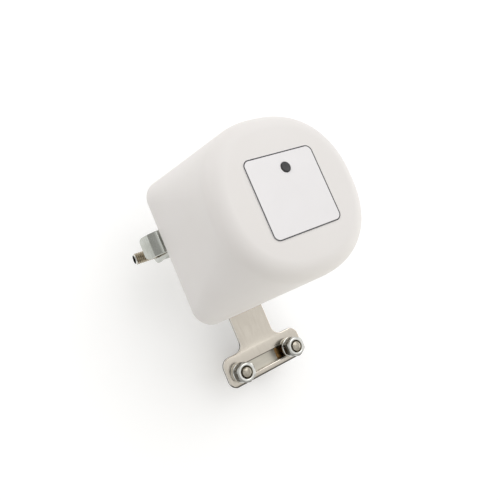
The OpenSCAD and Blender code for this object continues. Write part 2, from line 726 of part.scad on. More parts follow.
// Flat jaw with a round hole for one bolt and a square slot for the other
module clamp_jaw() color(nickel) translate([0, 0, jaw_back]) linear_extrude(jaw_t) difference() {
    translate([0, -bar_top - bar_h / 2])
        rounded(bar_w - 2 * jaw_inset, bar_h - 2 * jaw_inset, bar_corner_r - jaw_inset);
    translate(bolts[0]) circle(d = slot_w);
    translate([(slot_l - jaw_slot_l) / 2, bolt_y]) rounded(jaw_slot_l, slot_w, jaw_slot_r);
}

// Strap drawn from the side: two flat ears and a half-round seat for the pipe
module strap_outline() {
    seat = -(strap_depth - pipe_r);
    difference() {
        union() {
            translate([-ear_x, -strap_t]) square([2 * ear_x, strap_t]);
            translate([-strap_r, seat]) square([2 * strap_r, -seat]);
            translate([0, seat]) circle(strap_r);
            for (sx = [0, 1]) mirror([sx, 0])
                translate([strap_r, -strap_t]) mirror([0, 1]) corner_fillet(strap_bend_r);
        }
        translate([-pipe_r, seat]) square([2 * pipe_r, 1 - seat]);
        translate([0, seat]) circle(pipe_r);
        translate([-strap_r, 0]) square(2 * strap_r);
    }
}

module pipe_strap() color(nickel) difference() {
    intersection() {
        translate([0, bolt_y + strap_w / 2, jaw_back]) rotate([90, 0, 0])
            linear_extrude(strap_w) strap_outline();
        translate([0, bolt_y, jaw_back - 2 * strap_depth]) linear_extrude(3 * strap_depth)
            rounded(2 * ear_x, strap_w, ear_r);
    }
    places(bolts, ear_back - 1) cylinder(h = strap_t + 2, d = slot_w);
}

module clamp_bolts() color(zinc) places(bolts, ear_back) {
    translate([0, 0, -bolt_head_h]) linear_extrude(bolt_head_h) rotate(30) hexagon(nut_af);
    cylinder(h = clamp_l - bolt_tip, d = bolt_d);
    translate([0, 0, clamp_l - bolt_tip]) cylinder(h = bolt_tip, d1 = bolt_d, d2 = bolt_d - 2 * bolt_tip);
}

module clamp_washers() color(zinc) places(bolts, bar_front) ring(washer_t, washer_d, slot_w);

// Hexagon nut whose corners are turned off at the top
module clamp_nuts() color(zinc) places(bolts, bar_front + washer_t) difference() {
    intersection() {
        linear_extrude(nut_h) rotate(30) hexagon(nut_af);
        cylinder(h = nut_h, d1 = nut_top_d + 2 * nut_h / tan(30), d2 = nut_top_d);
    }
    translate([0, 0, -1]) cylinder(h = nut_h + 2, d = bolt_d + 2 * run_gap);
}

housing_shell();
rear_plate();
rear_plate_screws();
face_label();
push_button();
tact_switch();
switch_plunger();
control_board();
radio_module();
board_parts();
board_screws();
power_inlet();
inlet_nut();
gear_deck();
deck_screws();
motor();
motor_screws();
motor_shaft();
motor_pinion();
idler_gear();
idler_axle();
output_gear();
output_shaft();
rear_bush();
deck_bush();
shaft_clip();
limit_cam();
limit_switches();
drive_arm();
arm_washer();
arm_screw();
grip_screw();
pipe_bracket();
bracket_screws();
clamp_jaw();
pipe_strap();
clamp_bolts();
clamp_washers();
clamp_nuts();
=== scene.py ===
import json
import math

import bmesh
import bpy
from mathutils import Matrix, Vector


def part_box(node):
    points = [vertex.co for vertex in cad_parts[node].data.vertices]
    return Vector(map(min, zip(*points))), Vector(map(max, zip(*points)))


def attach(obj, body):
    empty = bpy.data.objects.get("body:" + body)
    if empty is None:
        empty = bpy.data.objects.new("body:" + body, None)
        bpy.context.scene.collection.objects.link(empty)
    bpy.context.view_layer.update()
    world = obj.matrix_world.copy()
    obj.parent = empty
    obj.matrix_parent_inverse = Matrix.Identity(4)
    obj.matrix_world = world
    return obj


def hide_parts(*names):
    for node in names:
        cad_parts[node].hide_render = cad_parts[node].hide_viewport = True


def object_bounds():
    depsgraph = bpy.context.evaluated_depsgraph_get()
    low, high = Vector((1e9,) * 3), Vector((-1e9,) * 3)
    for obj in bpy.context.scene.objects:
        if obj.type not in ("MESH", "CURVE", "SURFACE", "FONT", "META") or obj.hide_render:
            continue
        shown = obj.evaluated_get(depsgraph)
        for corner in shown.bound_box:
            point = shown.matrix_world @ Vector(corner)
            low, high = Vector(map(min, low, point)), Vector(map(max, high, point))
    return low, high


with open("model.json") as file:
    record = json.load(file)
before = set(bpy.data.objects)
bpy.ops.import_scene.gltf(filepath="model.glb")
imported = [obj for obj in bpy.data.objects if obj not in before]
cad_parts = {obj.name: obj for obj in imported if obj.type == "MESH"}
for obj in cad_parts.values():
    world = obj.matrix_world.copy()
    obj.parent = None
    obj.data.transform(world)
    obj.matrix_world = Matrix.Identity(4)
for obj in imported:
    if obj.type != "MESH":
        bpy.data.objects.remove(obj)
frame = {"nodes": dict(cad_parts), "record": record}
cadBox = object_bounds()
mm = 0.001
scene = bpy.context.scene
scene.view_settings.view_transform = "Standard"
bodyOf = {node: body for body, nodes in frame["record"]["behaviour"]["bodies"].items() for node in nodes}
print("frame loaded,", len(frame["nodes"]), "nodes")


# camera, at the photo's place and tilt
shot = {
    "at": Vector((-104.94, -38.14, 204.30)) * mm,
    "forward": Vector((0.4682, 0.0845, -0.8796)),
    "up": Vector((0.3110, 0.9160, 0.2535)),
    "lens": 32.56,  # on a 36 mm wide sensor
}


def aimCamera():
    data = bpy.data.cameras.new("photoCamera")
    data.lens = shot["lens"]
    data.sensor_width = 36
    data.clip_start = 0.01
    back = -shot["forward"].normalized()
    right = shot["up"].cross(back).normalized()
    up = back.cross(right)
    turn = Matrix((right, up, back)).transposed().to_4x4()
    rig = bpy.data.objects.new("photoCamera", data)
    rig.matrix_world = Matrix.Translation(shot["at"]) @ turn
    scene.collection.objects.link(rig)
    scene.camera = rig


aimCamera()
print("camera set")


# node tools for the finishes
def toLinear(rgb):
    return [c / 12.92 if c <= 0.04045 else ((c + 0.055) / 1.055) ** 2.4 for c in rgb] + [1.0]


def newFinish(name):
    finish = bpy.data.materials.new(name)
    finish.use_nodes = True
    return finish, finish.node_tree, finish.node_tree.nodes["Principled BSDF"]


def addNode(tree, kind, inputs=None, **settings):
    node = tree.nodes.new(kind)
    for key, value in settings.items():
        setattr(node, key, value)
    for key, value in (inputs or {}).items():
        if isinstance(value, bpy.types.NodeSocket):
            tree.links.new(value, node.inputs[key])
        else:
            node.inputs[key].default_value = value
    return node


def speckle(tree, grain, detail=3.0, stretch=(1, 1, 1)):  # noise with patches of about grain, in millimetres
    place = addNode(tree, "ShaderNodeTexCoord").outputs["Object"]
    spread = addNode(tree, "ShaderNodeMapping", {"Vector": place, "Scale": stretch})
    noise = addNode(tree, "ShaderNodeTexNoise", {
        "Vector": spread.outputs["Vector"], "Scale": 1 / (grain * mm), "Detail": detail})
    return noise.outputs["Fac"]


noiseSpan = (0.3, 0.7)  # the part of a noise texture's values that the finishes use


def between(tree, fac, low, high):  # that span turned into low to high
    ranged = addNode(tree, "ShaderNodeMapRange", {
        "Value": fac, "From Min": noiseSpan[0], "From Max": noiseSpan[1], "To Min": low, "To Max": high})
    return ranged.outputs["Result"]


def twoTone(tree, fac, first, second):
    ramp = addNode(tree, "ShaderNodeValToRGB", {"Fac": fac})
    for stop, place, tone in zip(ramp.color_ramp.elements, noiseSpan, (first, second)):
        stop.position = place
        stop.color = toLinear(tone)
    return ramp.outputs["Color"]


def wire(tree, shader, **sockets):
    for name, socket in sockets.items():
        tree.links.new(socket, shader.inputs[name.replace("_", " ")])


def roughen(tree, shader, fac, depth):  # depth of the relief in millimetres
    bump = addNode(tree, "ShaderNodeBump", {"Height": fac, "Distance": depth * mm, "Strength": 1.0})
    tree.links.new(bump.outputs["Normal"], shader.inputs["Normal"])


def mouldedPlastic(name, look):
    finish, tree, shader = newFinish(name)
    shader.inputs["IOR"].default_value = 1.49
    cloud = speckle(tree, look["cloud"], detail=2.0)
    grain = speckle(tree, look["grain"], detail=4.0)
    wire(tree, shader,
         Base_Color=twoTone(tree, cloud, look["tone"], look["shade"]),
         Roughness=between(tree, grain, *look["rough"]))
    roughen(tree, shader, grain, look["relief"])
    return finish


def rolledSheet(name, look):
    finish, tree, shader = newFinish(name)
    shader.inputs["Metallic"].default_value = 1.0
    smudge = speckle(tree, look["smudge"], detail=4.0)
    streak = speckle(tree, look["streak"], detail=3.0, stretch=look["along"])
    mixed = addNode(tree, "ShaderNodeMath", {0: smudge, 1: streak}, operation="ADD")
    halved = addNode(tree, "ShaderNodeMath", {0: mixed.outputs["Value"], 1: 0.5}, operation="MULTIPLY")
    wire(tree, shader,
         Base_Color=twoTone(tree, halved.outputs["Value"], look["tone"], look["shade"]),
         Roughness=between(tree, halved.outputs["Value"], *look["rough"]))
    roughen(tree, shader, streak, look["relief"])
    return finish


def turnedMetal(name, look):
    finish, tree, shader = newFinish(name)
    shader.inputs["Metallic"].default_value = 1.0
    patch = speckle(tree, look["patch"], detail=5.0)
    grain = speckle(tree, look["grain"], detail=2.0)
    wire(tree, shader,
         Base_Color=twoTone(tree, patch, look["tone"], look["shade"]),
         Roughness=between(tree, grain, *look["rough"]))
    roughen(tree, shader, grain, look["relief"])
    return finish


# tones as they look on screen; the other lengths are in millimetres
plastics = {
    "housingWhite": {"tone": (0.905, 0.892, 0.884), "shade": (0.897, 0.883, 0.873), "cloud": 30,
                     "grain": 0.9, "rough": (0.40, 0.48), "relief": 0.004},
    "labelFilm": {"tone": (0.922, 0.914, 0.918), "shade": (0.914, 0.906, 0.91), "cloud": 12, "grain": 0.6,
                  "rough": (0.36, 0.44), "relief": 0.002},
    "labelInk": {"tone": (0.22, 0.22, 0.23), "shade": (0.27, 0.27, 0.28), "cloud": 2, "grain": 0.3,
                 "rough": (0.42, 0.52), "relief": 0.001},
    "buttonBlack": {"tone": (0.20, 0.20, 0.205), "shade": (0.23, 0.23, 0.235), "cloud": 2, "grain": 0.25,
                    "rough": (0.45, 0.58), "relief": 0.006},
    "inletBlack": {"tone": (0.10, 0.10, 0.105), "shade": (0.14, 0.14, 0.145), "cloud": 4, "grain": 0.3,
                   "rough": (0.35, 0.5), "relief": 0.006},
    "nylonCream": {"tone": (0.90, 0.88, 0.80), "shade": (0.86, 0.84, 0.75), "cloud": 5, "grain": 0.4,
                   "rough": (0.38, 0.5), "relief": 0.004},
    "boardGreen": {"tone": (0.05, 0.30, 0.16), "shade": (0.07, 0.36, 0.19), "cloud": 3, "grain": 0.5,
                   "rough": (0.3, 0.45), "relief": 0.01},
}
sheets = {
    "bracketNickel": {"tone": (0.836, 0.808, 0.759), "shade": (0.793, 0.763, 0.717), "smudge": 14,
                      "streak": 1.2, "along": (1, 0.12, 1), "rough": (0.17, 0.25), "relief": 0.0002},
    # painted shade: a near-black tone on the bent plate's sides, where they reflect dark surroundings
    "paintedShadeSide": {"tone": (0.32, 0.305, 0.275), "shade": (0.235, 0.225, 0.20), "smudge": 5, "streak": 0.5,
                "along": (1, 1, 0.1), "rough": (0.25, 0.4), "relief": 0.002},
    # painted highlight: a near-white tone on the plate's upward-facing edges and the slot's lower wall
    "paintedHighlightEdge": {"tone": (0.98, 0.965, 0.935), "shade": (0.93, 0.91, 0.875), "smudge": 4, "streak": 0.5,
                 "along": (1, 1, 0.2), "rough": (0.10, 0.2), "relief": 0.001},
    "bronzeZinc": {"tone": (0.60, 0.47, 0.30), "shade": (0.49, 0.375, 0.225), "smudge": 6, "streak": 0.9,
                   "along": (0.12, 1, 1), "rough": (0.24, 0.38), "relief": 0.001},
    "clampSteel": {"tone": (0.80, 0.78, 0.73), "shade": (0.755, 0.735, 0.685), "smudge": 8, "streak": 0.9,
                   "along": (0.12, 1, 1), "rough": (0.28, 0.38), "relief": 0.0008},
    "armZinc": {"tone": (0.78, 0.79, 0.77), "shade": (0.71, 0.72, 0.69), "smudge": 6, "streak": 0.8,
                "along": (1, 0.15, 1), "rough": (0.18, 0.28), "relief": 0.0008},
    "deckSteel": {"tone": (0.66, 0.67, 0.69), "shade": (0.58, 0.59, 0.61), "smudge": 8, "streak": 1.0,
                  "along": (0.1, 1, 1), "rough": (0.25, 0.4), "relief": 0.003},
}
metals = {
    "zincBright": {"tone": (0.91, 0.91, 0.89), "shade": (0.84, 0.84, 0.82), "patch": 3, "grain": 0.25,
                   "rough": (0.06, 0.13), "relief": 0.0005},
    # painted shade: the next two are darker copies of the bright zinc, for the nuts' turned corners and
    # their sides
    "zincPaintedHalfShade": {"tone": (0.83, 0.83, 0.81), "shade": (0.74, 0.74, 0.72), "patch": 2, "grain": 0.25,
                  "rough": (0.10, 0.2), "relief": 0.0008},
    "zincPaintedShade": {"tone": (0.45, 0.45, 0.43), "shade": (0.31, 0.31, 0.30), "patch": 1.5, "grain": 0.25,
                 "rough": (0.10, 0.2), "relief": 0.001},
    "studSteel": {"tone": (0.74, 0.715, 0.66), "shade": (0.62, 0.595, 0.545), "patch": 1.5, "grain": 0.25,
                  "rough": (0.14, 0.26), "relief": 0.001},
    # painted shade: near-black for the shade inside the grip screw's hexagon socket
    "socketPaintedShade": {"tone": (0.10, 0.095, 0.085), "shade": (0.16, 0.15, 0.135), "patch": 1, "grain": 0.25,
                   "rough": (0.3, 0.45), "relief": 0.002},
    "gripNickel": {"tone": (0.74, 0.70, 0.62), "shade": (0.60, 0.565, 0.50), "patch": 1.2, "grain": 0.25,
                   "rough": (0.14, 0.28), "relief": 0.002},
    "bushBrass": {"tone": (0.80, 0.62, 0.33), "shade": (0.68, 0.50, 0.25), "patch": 2, "grain": 0.3,
                  "rough": (0.2, 0.35), "relief": 0.004},
    "groundSteel": {"tone": (0.70, 0.71, 0.73), "shade": (0.62, 0.63, 0.65), "patch": 3, "grain": 0.2,
                    "rough": (0.15, 0.28), "relief": 0.003},
    "tinPlate": {"tone": (0.75, 0.75, 0.77), "shade": (0.68, 0.68, 0.70), "patch": 4, "grain": 0.4,
                 "rough": (0.25, 0.4), "relief": 0.004},
}
finishes = {name: mouldedPlastic(name, look) for name, look in plastics.items()}
finishes.update({name: rolledSheet(name, look) for name, look in sheets.items()})
finishes.update({name: turnedMetal(name, look) for name, look in metals.items()})
print("finishes made:", len(finishes))


# mesh tools: a part is (points, faces, one finish number per face)
def loft(rings, ends="open", finish=0, bands=None):  # skin through rings of equally many points
    count = len(rings[0])
    points = [Vector(p) for ring in rings for p in ring]
    faces, numbers = [], []
    last = len(rings) if ends == "loop" else len(rings) - 1
    for i in range(last):
        a, b = i * count, (i + 1) % len(rings) * count
        for k in range(count):
            n = (k + 1) % count
            faces.append((a + k, a + n, b + n, b + k))
            numbers.append(bands.get(i, finish) if bands else finish)
    if ends == "capped":
        faces.append(tuple(reversed(range(count))))
        faces.append(tuple(range(len(points) - count, len(points))))
        numbers += [finish, finish]
    return points, faces, numbers


def circle(radius, z, count, centre=(0, 0)):
    step = 2 * math.pi / count
    return [(centre[0] + radius * math.cos(step * k), centre[1] + radius * math.sin(step * k), z)
            for k in range(count)]


def hexRing(flats, z, count, limit):  # hexagon with its corners cut back to limit
    ring = []
    for k in range(count):
        angle = 2 * math.pi * k / count
        off = (angle + math.pi / 6) % (math.pi / 3) - math.pi / 6
        radius = min(flats / 2 / math.cos(off), limit)
        ring.append((radius * math.cos(angle), radius * math.sin(angle), z))
    return ring


def turned(profile, count=72, ends="loop", **more):  # profile of (radius, z) turned about Z
    return loft([circle(radius, z, count) for radius, z in profile], ends, **more)


def moved(part, matrix):
    points, faces, numbers = part
    return [matrix @ p for p in points], faces, numbers


def roundedSquare(k, steps, flatSteps, half, corner):  # step k round it, shared out so that sides meet sides
    quarter = steps // 4
    side = (k + quarter // 2) // quarter
    off = k - side * quarter
    flat = half - corner
    if abs(off) <= flatSteps:
        x, y = half, flat * off / flatSteps
    else:
        turn = (abs(off) - flatSteps) / (quarter / 2 - flatSteps) * math.pi / 4
        x = flat + corner * math.cos(turn)
        y = math.copysign(flat + corner * math.sin(turn), off)
    angle = side * math.pi / 2
    return Vector((x * math.cos(angle) - y * math.sin(angle), x * math.sin(angle) + y * math.cos(angle)))


def joined(name, parts):  # one mesh of several parts, from millimetres to metres
    points, faces = [], []
    for part in parts:
        start = len(points)
        points += part[0]
        faces += [tuple(start + i for i in face) for face in part[1]]
    mesh = bpy.data.meshes.new(name)
    mesh.from_pydata([p * mm for p in points], [], faces)
    return mesh


def faceOutward(mesh):
    work = bmesh.new()
    work.from_mesh(mesh)
    bmesh.ops.recalc_face_normals(work, faces=work.faces)
    work.to_mesh(mesh)
    work.free()


def makePiece(name, parts, looks, body, nodes, sharp=35):
    numbers = [number for part in parts for number in part[2]]
    finishPiece(name, joined(name, parts), looks, body, nodes, sharp, numbers)


def finishPiece(name, mesh, looks, body, nodes, sharp, numbers=None):
    faceOutward(mesh)
    mesh.materials.clear()
    for look in looks:
        mesh.materials.append(finishes[look])
    if numbers:
        mesh.polygons.foreach_set("material_index", numbers)
    mesh.shade_smooth()
    mesh.set_sharp_from_angle(angle=math.radians(sharp))
    piece = bpy.data.objects.new(name, mesh)
    scene.collection.objects.link(piece)
    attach(piece, body)
    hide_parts(*nodes)


def middle(node):
    low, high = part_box(node)
    return (low + high) / 2 / mm


# where the bent plate gets painted shade on its sides and a painted highlight on its upward-facing edges, by
# how far a face's normal rises or points down the plate
plateLook = {
    "barHeight": 2.1,  # from the back of the flat bar, in mm; what lies above keeps the face's finish
    "face": 0.96,
    "slotWall": 0.5,
    "lowerEdge": 0.25,
    "lowerFace": 0.88,
    "highlightRise": 0.55,
}


def edgeLook(face, top, slotY):  # finish number: 1 for painted shade on the plate's sides, 2 for a painted highlight on its upward-facing edges, else 0
    at = face.calc_center_median()
    rise, down = face.normal.z, -face.normal.y
    if at.z > top or rise > plateLook["face"]:
        return 0
    if down < -plateLook["slotWall"] and at.y < slotY:  # the slot's lower wall, facing the light, gets a painted highlight
        return 2
    if min(down, rise) > plateLook["lowerEdge"]:  # the rounded lower edge, with painted shade on its steeper part
        return 0 if rise > plateLook["lowerFace"] else 1
    # edges that rise get the painted highlight, the other sides painted shade
    return 2 if rise > plateLook["highlightRise"] else 1


rounding = {
    "merge": 0.12,  # points closer than this become one, in mm
    "flat": 0.6,  # faces within this angle become one, in degrees
    "sharp": 40,  # outer edges over this angle are rounded, in degrees
    "room": 1.5,  # a face narrower than this many roundings keeps its edges
    "roomAtBack": 2.4,  # the same for edges at the back, which leave room for the rounding opposite
    "backDepth": 0.01,
    "speck": 0.002,  # points this close after a rounding or a cut become one, in mm
    "shading": 30,  # edges over this angle shade as sharp, in degrees
}


def roomBeside(edge):  # width of the narrower of the two faces that meet at an edge
    start = edge.verts[0].co
    along = (edge.verts[1].co - start).normalized()
    return min(max((v.co - start).cross(along).length for v in face.verts) for face in edge.link_faces)


def canRound(edge, width, back):
    if not edge.is_manifold or edge.calc_face_angle_signed() <= math.radians(rounding["sharp"]):
        return False
    atBack = max(v.co.z for v in edge.verts) < back + rounding["backDepth"] * mm
    room = rounding["roomAtBack"] if atBack else rounding["room"]
    return roomBeside(edge) >= room * width * mm


def mergeSpecks(work):
    bmesh.ops.remove_doubles(work, verts=work.verts, dist=rounding["speck"] * mm)
    bmesh.ops.dissolve_degenerate(work, edges=work.edges, dist=rounding["speck"] * mm)


def softened(node, looks, edge, name, segments=3):  # a CAD piece with its sharp edges rounded by edge, in mm
    work = bmesh.new()
    work.from_mesh(frame["nodes"][node].data)
    bmesh.ops.remove_doubles(work, verts=work.verts, dist=rounding["merge"] * mm)
    bmesh.ops.dissolve_limit(work, angle_limit=math.radians(rounding["flat"]), verts=work.verts,
                             edges=work.edges)
    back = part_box(node)[0].z
    hard = [e for e in work.edges if canRound(e, edge, back)]
    bmesh.ops.bevel(work, geom=hard, offset=edge * mm, segments=segments, profile=0.5, affect="EDGES",
                    clamp_overlap=False)
    mergeSpecks(work)
    top = back + plateLook["barHeight"] * mm
    slotY = middle("clamp_washers").y * mm
    numbers = [edgeLook(face, top, slotY) if len(looks) > 1 else 0 for face in work.faces]
    mesh = bpy.data.meshes.new(name)
    work.to_mesh(mesh)
    work.free()
    finishPiece(name, mesh, looks, bodyOf[node], [node], rounding["shading"], numbers)


def dress(look, *nodes):  # CAD pieces whose shape stays as it is
    for node in nodes:
        piece = frame["nodes"][node]
        piece.data.materials.clear()
        piece.data.materials.append(finishes[look])


# housing: a square rim lofted into a round front
housing = {
    "rimHalf": (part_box("housing_shell")[1].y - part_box("housing_shell")[0].y) / 2 / mm,
    "depth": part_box("housing_shell")[1].z / mm,
    "centreY": middle("housing_shell").y,
    "rimCorner": 10.0,
    "frontHalf": 35.5,
    "exponent": 2.3,  # 2 is a circle, more is squarer
    "fillet": 8.0,
    "wall": 2.5,
    "rimEdge": (0.5, 0.8),  # how far the rim's edge is rounded, across and up
    "pocket": 3.0,  # depth of the seat for the rear plate
    "pocketLip": 0.4,
    "innerStart": 1.0,  # the inner flank starts this far above the pocket
    "steps": 192,
    "flatSteps": 6,  # steps from the middle of a rim side to its corner
    "flankRings": 20,
    "filletRings": 16,
    "edgeRings": 4,
    "faceRings": (0.6, 0.2),  # rings on the flat front, as shares of its edge
}
inside = {  # bosses and holes in the housing, in mm
    "screwSpread": 29.5,  # rear screws, out from the middle each way
    "screwBossRadius": 3.2,
    "screwBossFoot": 0.2,  # above the rear plate's seat
    "screwBossTop": 14.0,
    "screwHoleRadius": 1.5,
    "screwHoleEnds": (2.0, 13.0),
    "boardScrewHead": 1.98,  # radius
    "boardBossRadius": 3.0,
    "boardHoleRadius": 1.1,
    "boardHoleEnds": (-1.0, 4.9),  # from the board's top
    "roofOverlap": 1.0,
    "socketFlange": 1.5,
    "socketBossRadius": 6.7,
    "socketBossLength": 4.0,
    "socketHoleRadius": 4.2,
    "socketHoleEnds": (-8.0, 2.0),  # from the seat of the socket's flange
    "buttonFlange": 1.0,  # how far the button's flange reaches past its hole
    "buttonHoleEnds": (-5.0, 2.0),  # from the front
    "gap": 0.02,
}


def rimPoint(k, inset):  # on the rim, drawn in by inset
    return roundedSquare(k, housing["steps"], housing["flatSteps"], housing["rimHalf"] - inset,
                         housing["rimCorner"] - inset)


def frontPoint(k):  # unit outline, at the place whose normal points along step k
    power = housing["exponent"]
    angle = 2 * math.pi * k / housing["steps"]
    c, s = math.cos(angle), math.sin(angle)
    x, y = abs(c) ** (1 / (power - 1)), abs(s) ** (1 / (power - 1))
    size = (x ** power + y ** power) ** (1 / power)
    return Vector((math.copysign(x, c), math.copysign(y, s))) / size


def shellProfile(k, inset):  # points from the rim up to the edge of the flat front, along step k
    rim, front = rimPoint(k, inset), frontPoint(k)
    angle = 2 * math.pi * k / housing["steps"]
    normal = Vector((math.cos(angle), math.sin(angle)))
    fillet = housing["fillet"] - inset
    inner = housing["frontHalf"] - housing["fillet"]
    low, high = 0.0, math.pi / 3
    rise = housing["depth"] - housing["fillet"] - housing["rimEdge"][1]
    for _ in range(30):  # where the straight flank meets the fillet without a kink
        lean = (low + high) / 2
        run = rim.dot(normal) - (inner + fillet * math.cos(lean)) * front.dot(normal)
        if run / (rise + fillet * math.sin(lean)) > math.tan(lean) * front.dot(normal):
            low = lean
        else:
            high = lean
    start = Vector((rim.x, rim.y, housing["rimEdge"][1]))

    def onFillet(a):
        flat = front * (inner + fillet * math.cos(a))
        return Vector((flat.x, flat.y, housing["depth"] - housing["fillet"] + fillet * math.sin(a)))

    meet = onFillet(lean)
    line = [start.lerp(meet, i / housing["flankRings"]) for i in range(housing["flankRings"])]
    count = housing["filletRings"]
    return line + [onFillet(lean + (math.pi / 2 - lean) * i / count) for i in range(count + 1)]


def drawnIn(ring):  # smaller copies of a ring at its own height
    return [[p * share + Vector((0, 0, p.z * (1 - share))) for p in ring] for share in housing["faceRings"]]


def housingRings():
    steps = range(housing["steps"])
    outer = [list(ring) for ring in zip(*[shellProfile(k, 0) for k in steps])]
    inner = [list(ring) for ring in zip(*[shellProfile(k, housing["wall"]) for k in steps])]
    across, up = housing["rimEdge"]
    edge = []
    for i in range(housing["edgeRings"]):
        turn = math.pi / 2 * i / housing["edgeRings"]
        inset = across * (1 - math.sin(turn))
        lift = Vector((0, 0, up * (1 - math.cos(turn))))
        edge.append([rimPoint(k, inset).to_3d() + lift for k in steps])
    pocket = [[rimPoint(k, housing["wall"]).to_3d() + Vector((0, 0, z)) for k in steps]
              for z in (0, housing["pocketLip"], housing["pocket"])]
    inner = [ring for ring in inner if ring[0].z > housing["pocket"] + housing["innerStart"]]
    return drawnIn(inner[-1])[::-1] + inner[::-1] + pocket[::-1] + edge + outer + drawnIn(outer[-1])


def cutter(name, parts):  # a helper solid for a Boolean
    mesh = joined(name, parts)
    faceOutward(mesh)
    tool = bpy.data.objects.new(name, mesh)
    scene.collection.objects.link(tool)
    return tool


def carve(base, tool, how):
    change = base.modifiers.new(how, "BOOLEAN")
    change.operation = how
    change.solver = "EXACT"
    change.object = tool
    bpy.context.view_layer.update()
    mesh = bpy.data.meshes.new_from_object(base.evaluated_get(bpy.context.evaluated_depsgraph_get()))
    work = bmesh.new()
    work.from_mesh(mesh)
    mergeSpecks(work)
    bmesh.ops.triangulate(work, faces=[face for face in work.faces if len(face.verts) > 4])
    work.to_mesh(mesh)
    work.free()
    base.modifiers.clear()
    base.data = mesh
    bpy.data.objects.remove(tool)


def rod(radius, start, end, count=48):  # solid cylinder from start to end
    start, end = Vector(start), Vector(end)
    turn = (end - start).to_track_quat("Z", "Y").to_matrix().to_4x4()
    length = (end - start).length
    part = loft([circle(radius, 0, count), circle(radius, length, count)], "capped")
    return moved(part, Matrix.Translation(start) @ turn)


def makeHousing():
    shift = Matrix.Translation((0, housing["centreY"], 0))
    shell = cutter("housing_raw", [moved(loft(housingRings(), "capped"), shift)])
    spread = inside["screwSpread"]
    screws = [middle("rear_plate").xy + Vector((sx, sy)) * spread for sx in (-1, 1) for sy in (-1, 1)]
    low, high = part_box("board_screws")
    head = inside["boardScrewHead"] * mm
    boardAt = [Vector((x, y)) for x in ((low.x + head) / mm, (high.x - head) / mm)
               for y in ((low.y + head) / mm, (high.y - head) / mm)]
    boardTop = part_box("control_board")[1].z / mm
    roof = housing["depth"] - housing["wall"] + inside["roofOverlap"]
    socket = middle("power_inlet")
    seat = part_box("power_inlet")[1].x / mm - inside["socketFlange"]
    low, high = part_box("push_button")
    buttonHole = (high.x - low.x) / 2 / mm - inside["buttonFlange"]
    bossEnds = (housing["pocket"] + inside["screwBossFoot"], inside["screwBossTop"])
    socketEnds = (-inside["socketBossLength"], -inside["gap"])

    def upright(radius, place, ends, level=0, count=48):
        return rod(radius, (*place, level + ends[0]), (*place, level + ends[1]), count)

    def sideways(radius, ends):  # on the power socket's axis, from the seat of its flange
        return rod(radius, (seat + ends[0], socket.y, socket.z), (seat + ends[1], socket.y, socket.z), 72)

    carve(shell, cutter("bosses", [
        *[upright(inside["screwBossRadius"], p, bossEnds) for p in screws],
        *[upright(inside["boardBossRadius"], p, (boardTop + inside["gap"], roof)) for p in boardAt],
        sideways(inside["socketBossRadius"], socketEnds),
    ]), "UNION")
    carve(shell, cutter("holes", [
        *[upright(inside["screwHoleRadius"], p, inside["screwHoleEnds"]) for p in screws],
        *[upright(inside["boardHoleRadius"], p, inside["boardHoleEnds"], boardTop) for p in boardAt],
        sideways(inside["socketHoleRadius"], inside["socketHoleEnds"]),
        upright(buttonHole, middle("push_button").xy, inside["buttonHoleEnds"], housing["depth"], 72),
    ]), "DIFFERENCE")
    mesh = shell.data
    bpy.data.objects.remove(shell)
    finishPiece("housing", mesh, ["housingWhite"], "base", ["housing_shell"],
                rounding["shading"])


makeHousing()
print("housing made")


# front label with its printed line, and the button
label = {
    "half": (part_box("face_label")[1].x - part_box("face_label")[0].x) / 2 / mm,
    "low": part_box("face_label")[0].z / mm,
    "high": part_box("face_label")[1].z / mm,
    "corner": 3.0,
    "edge": 0.08,
    "lineFrom": 0.1,  # the line's width counts from here; the sliver outside it is printed too
    "lineWidth": 0.5,
    "holeRadius": 2.35,
    "margin": 1.0,  # plain film beside the line and round the hole
    "steps": 128,
    "flatSteps": 4,
}
buttonCap = {
    "flange": 1.2,  # how far the flange stands out
    "flangeHeight": 1.0,
    "edge": 0.35,  # rounding of the cap's edge
    "edgeTurns": (0.5, 1.0, math.pi / 2),
    "dish": (0.03, 0.1, 0.12),  # how far the top sinks at its rim, half way in and in the middle
    "closing": 0.2,  # radius of the small rings that close both ends
    "steps": 64,
}


def makeLabel():
    centre = middle("face_label").xy
    buttonAt = middle("push_button").xy
    steps, low, top, hole = label["steps"], label["low"], label["high"], label["holeRadius"]

    def inward(by, z):  # the outline, drawn in by some millimetres
        half, corner = label["half"] - by, label["corner"] - by
        ring = [roundedSquare(k, steps, label["flatSteps"], half, corner) for k in range(steps)]
        return [(*(centre + p), z) for p in ring]

    lineEnd = label["lineFrom"] + label["lineWidth"]
    rings = [
        inward(0, low),
        inward(0, top - label["edge"]),
        inward(label["edge"], top),
        inward(label["lineFrom"], top),
        inward(lineEnd, top),
        inward(lineEnd + label["margin"], top),
        circle(hole + label["margin"], top, steps, buttonAt),
        circle(hole, top, steps, buttonAt),
        circle(hole, low, steps, buttonAt),
    ]
    part = loft(rings, "loop", bands={2: 1, 3: 1})  # the line is printed on the bands at the edge
    makePiece("label", [part], ["labelFilm", "labelInk"], "base", ["face_label"])


